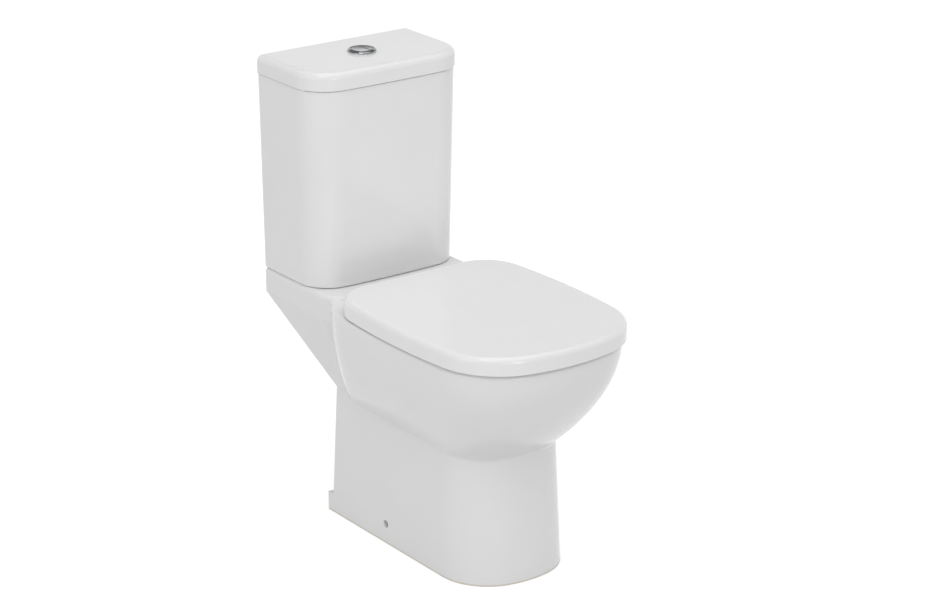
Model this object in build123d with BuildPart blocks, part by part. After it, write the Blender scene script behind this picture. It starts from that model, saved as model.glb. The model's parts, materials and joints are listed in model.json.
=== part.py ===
from build123d import *
import os

os.makedirs("parts", exist_ok=True)

# Every size is in millimetres. X runs across the toilet, the wall is at +Y and +Z is up. Distances
# called "reach" run forward from the wall, and from_wall() turns them into Y.

# overall
projection = 657.0                # wall to the front edge of the seat cover
lid_top = 782.0                   # floor to the top of the cistern lid
china_wall = 10.0
cut_overlap = 5.0                 # how far a cut runs on into open space

# seat and cover
cover_half_width = 177.0
cover_back_reach = 221.0
cover_bottom = 406.0
cover_height = 29.0
cover_wall = 4.0
cover_edge_radius = 9.0
seat_gap = 2.6                    # between the seat's edge and the inside of the cover
seat_thickness = 17.5
seat_width_of_ring = 62.0
buffer_height = 3.5
seat_front_bow = 38.0
seat_side_bow = 16.0
seat_front_corner = 118.0
seat_back_corner = 74.0

# pan
rim_top = cover_bottom - 3.5
rim_inset = 3.0                   # rim edge behind the cover's edge
rim_width = 40.0
rim_depth = 26.0
rim_edge_radius = 5.0
bowl_back_reach = 150.0           # the bowl's tail runs into the neck's sides
bowl_back_corner = 119.0
bowl_low_back_corner = 50.0
bowl_web_reach = 192.0            # back of the wall between the bowl and the ledge's hollow
bowl_low_corner = 84.0
bowl_fullness = 1.9               # how early the bowl swells above the crease
crease_height = 217.0             # where the bowl meets the pedestal
foot_half_width = 109.0
foot_front_reach = 550.0
foot_back_reach = 133.0
foot_lean = 10.0                  # how far the pedestal draws in between floor and crease
foot_side_lean = 5.0
foot_front_bow = 40.0
foot_corner = 90.0
heel_height = 33.0
heel_length = 13.0                # behind the pedestal's back
heel_overlap = 10.0
heel_inset = 3.0
fixing_hole_radius = 6.5
fixing_hole_reach = 293.0
fixing_hole_height = 34.0

# ledge that carries the cistern
ledge_top = 411.0
ledge_side_height = 42.0
ledge_half_width = 146.0
ledge_front_reach = 205.0
ledge_corner = 38.0
ledge_slab = 14.0
ledge_edge_radius = 7.0
neck_join_height = 234.0          # where the neck under the ledge runs into the pedestal
neck_join_reach = 146.0
neck_front_reach = 262.0
neck_corner = 38.0

# trap and outlet
outlet_height = 180.0
outlet_radius = 51.0
outlet_bore_radius = 43.0
outlet_reach = 75.0
outlet_bore_length = 50.0
trap_bore_radius = 34.0
trap_wall = 9.0
water_seal = 50.0
sump_reach = 350.0
sump_bend_radius = 68.0
sump_mouth_height = 130.0

# openings and walls inside the pan
crease_radius = 8.0
valley_radius = 7.0               # where the bowl runs into the neck
bowl_wall = 13.0
bowl_cavity_back = 262.0
rim_back_opening = 284.0
rim_opening_front_corner = 92.0
rim_opening_back_corner = 84.0
web_reach = 152.0                 # the web that carries the outlet
web_bottom = 96.0
web_top = 240.0
channel_half_width = 34.0         # the channel that takes the flush to the bowl
channel_floor = 352.0
channel_height = 26.0
cistern_hole_reach = 81.0         # the flush valve and the coupling bolts
inlet_radius = 33.0
bolt_half_spacing = 76.0
ledge_bolt_hole_radius = 6.5
supply_x = 102.0                  # the fill valve
supply_reach = 48.0
supply_hole_radius = 19.0
hinge_half_spacing = 77.5         # the seat fixings
hinge_reach = 233.0
hinge_hole_radius = 7.0
hinge_slab = 15.0
hinge_pocket_width = 46.0         # the hollow under each seat fixing
hinge_pocket_depth = 44.0
hinge_pocket_margin = 20.0

# cistern and lid
cistern_gap = 0.8                 # between the ledge and the cistern's skirt
cistern_recess = 12.0             # the cistern's floor is raised above its skirt
cistern_floor = 12.0
cistern_wall = 8.0
cistern_rim_radius = 3.0
tail_hole_clearance = 1.5
bolt_hole_clearance = 2.0
cistern_top = 750.0
cistern_front_lean = 6.0          # how far the front draws back between the lid and the ledge
cistern_bottom_corner = 56.0
cistern_top_half_width = 151.5
cistern_top_reach = 171.0
cistern_top_corner = 58.0
cistern_bow = 5.0
lid_gap = 1.6                     # the lid rests on small pads
lid_overhang = 2.2
lid_wall_gap = 0.5
lid_pad_length = 24.0
lid_pad_spacing = 76.0
lid_pad_width = 4.0
lid_pad_clearance = 0.1
lid_wall = 8.0
lid_edge_radius = 11.0
lid_lip_depth = 11.0
lid_lip_clearance = 1.2
lid_lip_wall = 5.0
wall_hole_half_spacing = 95.0
wall_hole_height = 700.0
wall_hole_radius = 4.5

# seat opening, hinges and buffers
seat_opening_half_width = 106.0
seat_opening_front = 590.0
seat_opening_back = 306.0
hinge_axis_height = rim_top + 16.0
hinge_pin_radius = 3.0
hinge_running_gap = 0.06
hinge_eye_radius = 7.0
pillar_width = 13.0
pillar_thickness = 12.0
pillar_foot_radius = 12.0
pillar_foot_height = 3.0
hinge_side_gap = 0.5
seat_eye_width = 13.0
cover_eye_width = 11.0
seat_back_gap = 17.0              # hinge axis to the back edge of the seat
stud_radius = 4.0
stud_length = 52.0
buffer_radius = 8.0
buffer_length = 24.0
seat_buffer_reaches = (330.0, 510.0)
cover_buffer_reaches = (340.0, 520.0)
buffer_side_inset = 27.0          # from the rim's side to a seat buffer
cover_buffer_side_inset = 32.0
cover_trim_height = 5.0           # the cover's back is cut short to swing clear
cover_trim_length = 29.0

# button
button_reach = cistern_hole_reach
bezel_radius = 24.5
bezel_height = 4.6
bezel_lip = 3.2
bezel_bulge = 0.9
bezel_dish = 0.6
sleeve_radius = 21.0
sleeve_wall = 2.2
sleeve_length = 30.0
sleeve_web = 4.0
lid_hole_clearance = 1.0
button_gap = 0.35                 # round the buttons
button_split_x = 4.5
button_split_gap = 0.6
button_wall = 1.5
button_rise = 0.4                 # above the bezel
button_roof = 3.0
button_edge_radius = 1.0
button_skirt = 11.0
button_travel = 6.0
full_rod_x = -9.5
half_rod_x = 11.2
rod_radius = 2.0
rod_foot_rim = 1.2
rod_foot_height = 4.0
rod_guide_gap = 0.3
boss_radius = 3.4
boss_length = 15.0
spring_radius = 4.2
spring_wire_radius = 0.45
spring_turns = 7
locknut_radius = 28.5
locknut_height = 7.0

# flush valve
tail_radius = 29.5
tail_bore_radius = 25.0
tail_bottom = 397.0
thread_gap = 0.05
seal_gap = 0.1
valve_flange_radius = 40.0
valve_flange_height = 3.5
washer_height = 3.0
backnut_radius = 38.0
backnut_height = 9.0
backnut_side_count = 8
basket_radius = 38.5
basket_wall = 2.5
basket_height = 57.0
window_count = 6
window_width = 26.0
window_height = 26.0
window_sill = 5.0
seat_lip_height = 3.0
seat_lip_wall = 2.5
tower_radius = 28.0
tower_wall = 2.0
tower_roof = 3.0
tower_collar_height = 4.0
tower_neck_height = 28.0
tower_top = 692.0
tower_slot_width = 12.0
tower_slot_start = 12.0
tower_slot_count = 4
tower_slot_height = 90.0
overflow_radius = 14.0
overflow_wall = 2.0
overflow_top = 628.0
core_disc_radius = 30.0
core_disc_thickness = 4.0
core_cup_radius = 23.5
core_cup_height = 34.0
core_cup_wall = 2.0
core_cup_start = 10.0              # above the disc
flush_lift = 22.0
plunger_radius = 5.0
plunger_proud = 10.0
plunger_length = 26.0
plunger_gap = 0.25
rod_gap = 0.5                     # from a rod's end to its plunger

# coupling
gasket_radius = 56.0
gasket_bore_gap = 1.5
bolt_radius = 4.0
bolt_head_radius = 9.0
bolt_head_height = 5.0
bolt_seal_radius = 14.0
bolt_seal_height = 4.0
bolt_below_ledge = 22.0
small_washer_radius = 11.0
small_washer_height = 2.0
wing_nut_hub_radius = 7.5
wing_nut_height = 9.0
wing_span = 30.0

# fill valve
inlet_tail_radius = 10.48
inlet_bore_radius = 6.0
inlet_tail_bottom = 390.0
inlet_thread_length = 12.0
inlet_groove_width = 2.0
inlet_groove_depth = 0.9
fill_hole_clearance = 1.0
fill_flange_radius = 17.0
fill_flange_height = 3.0
fill_stem_radius = 9.0
fill_stem_top = 640.0
fill_backnut_radius = 16.0
fill_backnut_height = 8.0
fill_backnut_side_count = 6
head_base_radius = 14.0
head_base_height = 14.0
head_cap_radius = 16.0
head_cap_height = 26.0
arm_height = 5.0
arm_pivot_offset = 20.0           # pivot behind the stem
arm_rod_offset = 21.0             # tie rod in front of the stem
arm_width = 9.0
arm_pin_radius = 2.0
arm_pin_gap = 0.08
arm_ear_gap = 0.5
arm_ear_width = 3.0
arm_end = 8.0                     # past the tie rod
arm_slot_length = 9.0
arm_slot_offset = 0.8             # the slot's middle lies past the tie rod
arm_slot_gap = 0.8
float_radius = 25.0
float_bore_gap = 1.5
float_height = 58.0
float_bottom = 548.0
float_lift = 12.0
tie_rod_radius = 2.0


def from_wall(reach):
    """Y of a place that lies this far in front of the wall."""
    return projection / 2 - reach


def plan_outline(height, half_width, front, back, front_bow, front_corner, back_corner=0.0,
                 side_bow=0.0, back_half_width=None):
    """A rounded outline seen from above: straight back, bowed sides and front, round corners."""
    back_half = half_width if back_half_width is None else back_half_width
    front_half = half_width - side_bow
    back_half = back_half - side_bow
    corner_y = from_wall(front - front_bow)
    back_y = from_wall(back)
    with BuildSketch(Plane.XY.offset(height)) as outline:
        with BuildLine():
            Line((-back_half, back_y), (back_half, back_y))
            if side_bow > 0:
                middle = (half_width, (corner_y + back_y) / 2)
                ThreePointArc((back_half, back_y), middle, (front_half, corner_y))
                ThreePointArc((-front_half, corner_y), (-middle[0], middle[1]), (-back_half, back_y))
            else:
                Line((back_half, back_y), (front_half, corner_y))
                Line((-front_half, corner_y), (-back_half, back_y))
            ThreePointArc((front_half, corner_y), (0, from_wall(front)), (-front_half, corner_y))
        make_face()
        fillet(outline.vertices().sort_by(Axis.Y)[:2], front_corner)
        if back_corner > 0:
            fillet(outline.vertices().sort_by(Axis.Y)[-2:], back_corner)
    return outline.sketch


# ---------------------------------------------------------------- pan

rim_half_width = cover_half_width - rim_inset
rim_front_reach = projection - rim_inset * 2
crease_half_width = foot_half_width - foot_side_lean
crease_front_reach = foot_front_reach - foot_lean
ledge_bottom = ledge_top - ledge_side_height
neck_slope = (ledge_half_width - crease_half_width) / (ledge_bottom - neck_join_height)
neck_back_slope = neck_join_reach / (ledge_bottom - neck_join_height)
rim_underside = rim_top - rim_depth


def between(low, high, share):
    """The value this share of the way from low to high."""
    return low + (high - low) * share


def swell_at(share):
    """How far the bowl has swelled at this share of the height from the crease to the rim."""
    if share < 0:
        return 0.9 * share
    return 1 - (1 - share) ** bowl_fullness


def bowl_section(share, inset=0.0, back=bowl_back_reach, back_corner=None):
    """Outline of the bowl at this share of the height, or of its inside, which is set in."""
    swell = swell_at(share)
    if back_corner is None:
        back_corner = between(bowl_low_back_corner, bowl_back_corner, max(swell, 0))
    return plan_outline(between(crease_height, rim_top, share),
                        between(crease_half_width, rim_half_width, swell) - inset,
                        between(crease_front_reach, rim_front_reach, swell) - inset,
                        back,
                        between(foot_front_bow, seat_front_bow, swell),
                        between(bowl_low_corner, seat_front_corner, swell) - inset,
                        back_corner,
                        between(1.0, seat_side_bow, max(swell, 0)))


with BuildPart() as bowl_body:
    for share in (-0.13, 0.0, 0.15, 0.32, 0.5, 0.7, 0.87, 1.0):
        add(bowl_section(share))
    loft()
    fillet(bowl_body.faces().sort_by(Axis.Z)[-1].edges(), rim_edge_radius)

with BuildPart() as pedestal_body:
    top = crease_height + 33.0
    lean = (top / crease_height)
    add(plan_outline(0, foot_half_width, foot_front_reach, foot_back_reach, foot_front_bow,
                     foot_corner, back_half_width=foot_half_width - heel_inset))
    add(plan_outline(top, foot_half_width - foot_side_lean * lean,
                     foot_front_reach - foot_lean * lean, neck_join_reach + 2, foot_front_bow,
                     foot_corner, back_half_width=foot_half_width - foot_side_lean * lean))
    loft(ruled=True)

with BuildPart() as neck_body:
    low = neck_join_height - 30.0
    drop = ledge_bottom - low
    add(plan_outline(low, ledge_half_width - neck_slope * drop, neck_front_reach,
                     neck_back_slope * drop, 4, neck_corner))
    add(plan_outline(ledge_bottom, ledge_half_width, ledge_front_reach, 0, 4, ledge_corner))
    loft(ruled=True)
    with BuildSketch(Plane.XY.offset(ledge_bottom)):
        add(plan_outline(0, ledge_half_width, ledge_front_reach, 0, 4, ledge_corner))
    extrude(amount=ledge_side_height)

# the space inside the pedestal and under the ledge, open at the back and at the floor
with BuildPart() as pan_hollow:
    top = crease_height + 22.0
    lean = top / crease_height
    add(plan_outline(-1, foot_half_width - china_wall, foot_front_reach - china_wall,
                     foot_back_reach - 60, foot_front_bow, foot_corner - china_wall))
    add(plan_outline(top, foot_half_width - foot_side_lean * lean - china_wall,
                     foot_front_reach - foot_lean * lean - china_wall, foot_back_reach - 60,
                     foot_front_bow, foot_corner - china_wall))
    loft(ruled=True)
    low = neck_join_height - 30.0
    drop = ledge_bottom - low
    add(plan_outline(low, ledge_half_width - neck_slope * drop - china_wall,
                     ledge_front_reach - china_wall, neck_back_slope * drop - 60, 4, neck_corner))
    add(plan_outline(ledge_bottom, ledge_half_width - china_wall, ledge_front_reach - china_wall,
                     -20, 4, ledge_corner - china_wall))
    loft(ruled=True)
    with BuildSketch(Plane.XY.offset(ledge_bottom)):
        add(plan_outline(0, ledge_half_width - china_wall, ledge_front_reach - china_wall, -20, 4,
                         ledge_corner - china_wall))
    extrude(amount=ledge_side_height - ledge_slab)


# the bowl in front of the web: behind it the hollow under the ledge runs on between the walls
with BuildPart() as bowl_front:
    add(bowl_body)
    split(bisect_by=Plane.XZ.offset(-from_wall(bowl_web_reach)), keep=Keep.TOP)


def shared_edges(part, first, second):
    """The edges along which two bodies run into each other."""
    return [edge for edge in part.edges()
            if first.distance_to(edge @ 0.5) < 0.01 and second.distance_to(edge @ 0.5) < 0.01]


# where the bowl's inside narrows to the trap: (height, half width, front, back, bow, corner)
funnel = ((crease_height - 34, 64, 466, 284, 18, 48),
          (crease_height - 66, 47, 414, 302, 8, 38),
          (sump_mouth_height - 4, trap_bore_radius + 3, sump_reach + trap_bore_radius + 4,
           sump_reach - trap_bore_radius - 4, 5, trap_bore_radius - 4))
rim_underside_share = (rim_underside - crease_height) / (rim_top - crease_height)


def funnel_sections(wall):
    """Outlines of the narrowing below the bowl, grown by a wall."""
    for height, half_width, front, back, bow, corner in funnel:
        add(plan_outline(height, half_width + wall, front + wall, back - wall, bow, corner + wall,
                         (corner + wall) * 0.8))


with BuildPart() as bowl_cavity:
    for share in (1.0, 0.78, 0.54, 0.3):
        add(bowl_section(share * rim_underside_share, bowl_wall, bowl_cavity_back, 58))
    add(bowl_section(0.02, bowl_wall + 6, bowl_cavity_back + 10, 48))
    funnel_sections(0)
    loft()
    with BuildSketch(Plane.XY.offset(rim_underside - 1)):
        add(plan_outline(0, rim_half_width - rim_width, rim_front_reach - rim_width,
                         rim_back_opening, seat_front_bow * 0.7, rim_opening_front_corner,
                         rim_opening_back_corner, seat_side_bow * 0.6))
    extrude(amount=rim_depth + 2)

# the same narrowing with its wall, below the crease where the pedestal hides it
with BuildPart() as bowl_funnel:
    add(bowl_section(0.02, bowl_wall + 6 - china_wall, bowl_cavity_back - 4, 56))
    funnel_sections(china_wall)
    loft()

rise_radius = (water_seal + 2 * trap_bore_radius) / 2
dip_height = outlet_height - 2 * rise_radius
dip_reach = sump_reach - sump_bend_radius
rise_reach = dip_reach - rise_radius
weir_reach = rise_reach - rise_radius


def trap_run(radius, start_height):
    """A round passage along the trap, from the sump under the bowl to the outlet."""
    with BuildPart() as run:
        with BuildLine(Plane.YZ) as route:
            sump = (from_wall(sump_reach), sump_mouth_height)
            dip = (from_wall(dip_reach), dip_height)
            rise = (from_wall(rise_reach), dip_height + rise_radius)
            weir = (from_wall(weir_reach), outlet_height)
            Line((sump[0], start_height), sump)
            TangentArc(sump, dip, tangent=(0, -1))
            TangentArc(dip, rise, tangent=(1, 0))
            TangentArc(rise, weir, tangent=(0, 1))
            Line(weir, (from_wall(outlet_reach + 20), outlet_height))
        with BuildSketch(Plane((0, from_wall(sump_reach), start_height), z_dir=(0, 0, -1))):
            Circle(radius)
        sweep()
    return run.part


outlet_plane = Plane((0, from_wall(outlet_reach), outlet_height), z_dir=(0, -1, 0))
ledge_underside = ledge_top - ledge_slab

# the space in the duct that takes the flush from the ledge to the bowl
with BuildPart() as duct_space:
    duct_back = cistern_hole_reach - channel_half_width
    with BuildSketch(Plane.XY.offset(channel_floor)):
        with Locations((0, from_wall(duct_back))):
            Rectangle(2 * channel_half_width, bowl_cavity_back + 8 - duct_back,
                      align=(Align.CENTER, Align.MAX))
    extrude(amount=channel_height)
    with BuildSketch(Plane.XY.offset(channel_floor + cut_overlap)):
        with Locations((0, from_wall(cistern_hole_reach))):
            Circle(inlet_radius)
    extrude(amount=ledge_top - channel_floor - cut_overlap)

with BuildPart() as pan:
    add(bowl_body)
    add(pedestal_body)
    add(neck_body)
    # soft lines where the bowl runs into the neck and the pedestal
    valley = shared_edges(pan.part, bowl_body.part, neck_body.part)
    fillet([edge for edge in valley if edge.center().Z < rim_top - 1], valley_radius)
    fillet(shared_edges(pan.part, bowl_body.part, pedestal_body.part), crease_radius)
    # the step up to the ledge and the ledge's own rim
    ledge_rim = pan.faces().filter_by(Axis.Z).sort_by(Axis.Z)[-1].edges().sort_by(Axis.Y)[:-1]
    fillet(ledge_rim, ledge_edge_radius)
    # heel at the back of the foot
    with BuildSketch(Plane.XY):
        with Locations((0, from_wall(foot_back_reach + heel_overlap))):
            Rectangle(2 * (foot_half_width - heel_inset), heel_length + heel_overlap,
                      align=(Align.CENTER, Align.MIN))
    extrude(amount=heel_height)
    # the hollow behind and below the bowl, and the bowl itself
    add(pan_hollow.part - bowl_front.part, mode=Mode.SUBTRACT)
    add(bowl_cavity, mode=Mode.SUBTRACT)
    add(duct_space, mode=Mode.SUBTRACT)
    with BuildSketch(Plane.XY.offset(ledge_top)):
        with Locations((-bolt_half_spacing, from_wall(cistern_hole_reach)),
                       (bolt_half_spacing, from_wall(cistern_hole_reach))):
            Circle(ledge_bolt_hole_radius)
        with Locations((supply_x, from_wall(supply_reach))):
            Circle(supply_hole_radius)
    extrude(amount=-ledge_slab - cut_overlap, mode=Mode.SUBTRACT)
    # seat fixing holes and the pockets under them
    for side in (-1, 1):
        pocket_back = ledge_front_reach - hinge_pocket_margin
        with BuildSketch(Plane.XY.offset(rim_top - hinge_slab)):
            with Locations((side * hinge_half_spacing, from_wall(pocket_back))):
                Rectangle(hinge_pocket_width, hinge_reach + hinge_pocket_margin - pocket_back,
                          align=(Align.CENTER, Align.MAX))
        extrude(amount=-hinge_pocket_depth, mode=Mode.SUBTRACT)
        with BuildSketch(Plane.XY.offset(rim_top)):
            with Locations((side * hinge_half_spacing, from_wall(hinge_reach))):
                Circle(hinge_hole_radius)
        extrude(amount=-hinge_slab - cut_overlap, mode=Mode.SUBTRACT)
    # floor fixing holes through the side walls
    for side in (-1, 1):
        with BuildSketch(Plane.YZ.offset(side * (foot_half_width - 3 * china_wall))):
            with Locations((from_wall(fixing_hole_reach), fixing_hole_height)):
                Circle(fixing_hole_radius)
        extrude(amount=side * 4 * china_wall, mode=Mode.SUBTRACT)
pan.part.label = "pan"
export_step(pan.part, "parts/pan.step")

# the trap under the bowl, the outlet spigot and the web between the walls that carries them
with BuildPart() as trapway:
    add(bowl_funnel)
    add(trap_run(trap_bore_radius + trap_wall, sump_mouth_height + 20))
    with BuildSketch(outlet_plane):
        Circle(outlet_radius)
    extrude(amount=web_reach - outlet_reach)
    with BuildSketch(Plane.XZ.offset(-from_wall(web_reach))):
        with Locations((0, (web_bottom + web_top) / 2)):
            Rectangle(2 * (crease_half_width - china_wall / 2), web_top - web_bottom)
    extrude(amount=china_wall)
    add(pan, mode=Mode.SUBTRACT)
    add(bowl_cavity, mode=Mode.SUBTRACT)
    add(trap_run(trap_bore_radius, sump_mouth_height + 30), mode=Mode.SUBTRACT)
    with BuildSketch(outlet_plane):
        Circle(outlet_bore_radius)
    extrude(amount=outlet_bore_length, mode=Mode.SUBTRACT)
trapway.part.label = "trapway"
export_step(trapway.part, "parts/trapway.step")

with BuildPart() as flush_duct:
    with BuildSketch(Plane.XY.offset(channel_floor - china_wall)):
        with Locations((0, from_wall(duct_back - china_wall))):
            Rectangle(2 * (channel_half_width + china_wall), bowl_web_reach + 10 - duct_back + china_wall,
                      align=(Align.CENTER, Align.MAX))
    extrude(amount=ledge_underside - channel_floor + china_wall)
    add(pan, mode=Mode.SUBTRACT)
    add(duct_space, mode=Mode.SUBTRACT)
flush_duct.part.label = "flush_duct"
export_step(flush_duct.part, "parts/flush_duct.step")

# ---------------------------------------------------------------- cistern and lid

cistern_bottom = ledge_top + cistern_gap
floor_underside = cistern_bottom + cistern_recess
floor_top = floor_underside + cistern_floor


def cistern_outline(height, inset=0.0, back_inset=None):
    """Outline of the cistern at one height: it widens a little from the ledge to the lid."""
    share = (height - cistern_bottom) / (cistern_top - cistern_bottom)
    back = inset if back_inset is None else back_inset
    return plan_outline(height,
                        between(ledge_half_width, cistern_top_half_width, share) - inset,
                        cistern_top_reach - cistern_front_lean * (1 - share) - inset,
                        back, cistern_bow,
                        between(cistern_bottom_corner, cistern_top_corner, share) - inset)


with BuildPart() as cistern:
    add(cistern_outline(cistern_bottom, back_inset=-2))
    add(cistern_outline(cistern_top, back_inset=-2))
    loft(ruled=True)
    # its back is cut flat for the wall
    with BuildSketch(Plane.XZ.offset(-from_wall(0))):
        Rectangle(3 * cistern_top_half_width, 3 * lid_top)
    extrude(amount=-4, mode=Mode.SUBTRACT)
    outer_rim = cistern.faces().sort_by(Axis.Z)[0].edges().filter_by(
        lambda edge: edge.center().Y < from_wall(5))
    fillet(outer_rim, cistern_rim_radius)
    add(cistern_outline(floor_top, cistern_wall))
    add(cistern_outline(cistern_top + cut_overlap, cistern_wall))
    loft(ruled=True, mode=Mode.SUBTRACT)
    add(cistern_outline(cistern_bottom - 1, cistern_wall))
    add(cistern_outline(floor_underside, cistern_wall))
    loft(ruled=True, mode=Mode.SUBTRACT)
    with BuildSketch(Plane.XY.offset(floor_top)):
        with Locations((0, from_wall(cistern_hole_reach))):
            Circle(tail_radius + tail_hole_clearance)
        with Locations((-bolt_half_spacing, from_wall(cistern_hole_reach)),
                       (bolt_half_spacing, from_wall(cistern_hole_reach))):
            Circle(bolt_radius + bolt_hole_clearance)
        with Locations((supply_x, from_wall(supply_reach))):
            Circle(inlet_tail_radius + fill_hole_clearance)
    extrude(amount=-cistern_floor, mode=Mode.SUBTRACT)
    with BuildSketch(Plane.XZ.offset(-from_wall(0))):
        with Locations((-wall_hole_half_spacing, wall_hole_height),
                       (wall_hole_half_spacing, wall_hole_height)):
            Circle(wall_hole_radius)
    extrude(amount=cistern_wall, mode=Mode.SUBTRACT)
cistern.part.label = "cistern"
export_step(cistern.part, "parts/cistern.step")

lid_bottom = cistern_top + lid_gap


def lid_outline(height, outset):
    """The cistern's top outline grown or drawn in, with the same back."""
    return plan_outline(height, cistern_top_half_width + outset, cistern_top_reach + outset,
                        max(-outset, 0) + lid_wall_gap, cistern_bow, cistern_top_corner + outset)


with BuildPart() as cistern_lid:
    with BuildSketch(Plane.XY.offset(lid_bottom)):
        add(lid_outline(0, lid_overhang))
    extrude(amount=lid_top - lid_bottom)
    top_edges = cistern_lid.faces().sort_by(Axis.Z)[-1].edges()
    fillet(top_edges.sort_by(Axis.Y)[:-1], lid_edge_radius)
    with BuildSketch(Plane.XY.offset(lid_bottom)):
        add(lid_outline(0, -cistern_wall - lid_lip_clearance))
    extrude(amount=-lid_lip_depth)
    with BuildSketch(Plane.XY.offset(lid_bottom - lid_lip_depth)):
        add(lid_outline(0, -cistern_wall - lid_lip_clearance - lid_lip_wall))
    extrude(amount=lid_top - lid_wall - lid_bottom + lid_lip_depth, mode=Mode.SUBTRACT)
    with BuildSketch(Plane.XY.offset(lid_top)):
        with Locations((0, from_wall(button_reach))):
            Circle(sleeve_radius + lid_hole_clearance)
    extrude(amount=-lid_wall, mode=Mode.SUBTRACT)
    # pads that rest on the cistern's side walls
    with BuildSketch(Plane.XY.offset(lid_bottom)):
        with Locations((0, from_wall(button_reach))):
            with GridLocations(2 * cistern_top_half_width - cistern_wall, lid_pad_spacing, 2, 2):
                Rectangle(lid_pad_width, lid_pad_length)
    extrude(amount=lid_pad_clearance - lid_gap)
cistern_lid.part.label = "cistern_lid"
export_step(cistern_lid.part, "parts/cistern_lid.step")

# ---------------------------------------------------------------- flush button

button_plane = Plane((0, from_wall(button_reach), 0), x_dir=(1, 0, 0), z_dir=(0, -1, 0))
bezel_top = lid_top + bezel_height
sleeve_bottom = lid_top - sleeve_length
sleeve_inside = sleeve_radius - sleeve_wall
button_radius = sleeve_inside - button_gap
button_top = bezel_top + button_rise
button_bottom = button_top - button_skirt
button_ceiling = button_top - button_roof
spring_floor = sleeve_bottom + sleeve_web


def turned(points, height=0.0, x=0.0, reach=button_reach):
    """A round piece turned from a profile of (radius, height) points about an upright axis."""
    with BuildPart() as piece:
        with BuildSketch(Plane((x, from_wall(reach), height), x_dir=(1, 0, 0), z_dir=(0, -1, 0))):
            with BuildLine():
                Polyline(*points, close=True)
            make_face()
        revolve(axis=Axis((x, from_wall(reach), height), (0, 0, 1)))
    return piece.part


with BuildPart() as button_bezel:
    with BuildSketch(button_plane):
        with BuildLine():
            Line((sleeve_radius, lid_top), (bezel_radius, lid_top))
            ThreePointArc((bezel_radius, lid_top),
                          (bezel_radius - bezel_bulge, lid_top + bezel_height * 0.7),
                          (bezel_radius - bezel_lip, bezel_top))
            Polyline((bezel_radius - bezel_lip, bezel_top), (sleeve_inside, bezel_top - bezel_dish),
                     (sleeve_inside, sleeve_bottom), (sleeve_radius, sleeve_bottom),
                     (sleeve_radius, lid_top))
        make_face()
    revolve(axis=Axis((0, from_wall(button_reach), 0), (0, 0, 1)))
    with BuildSketch(Plane.XY.offset(sleeve_bottom)):
        with Locations((0, from_wall(button_reach))):
            Circle(sleeve_inside + 0.2)
        with Locations((full_rod_x, from_wall(button_reach)), (half_rod_x, from_wall(button_reach))):
            Circle(rod_radius + rod_guide_gap, mode=Mode.SUBTRACT)
    extrude(amount=sleeve_web)
button_bezel.part.label = "button_bezel"
export_step(button_bezel.part, "parts/button_bezel.step")

lid_ceiling = lid_top - lid_wall
with BuildPart() as button_locknut:
    with BuildSketch(Plane.XY.offset(lid_ceiling - locknut_height)):
        with Locations((0, from_wall(button_reach))):
            Circle(locknut_radius)
            Circle(sleeve_radius + thread_gap, mode=Mode.SUBTRACT)
    extrude(amount=locknut_height)
button_locknut.part.label = "button_locknut"
export_step(button_locknut.part, "parts/button_locknut.step")

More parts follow.
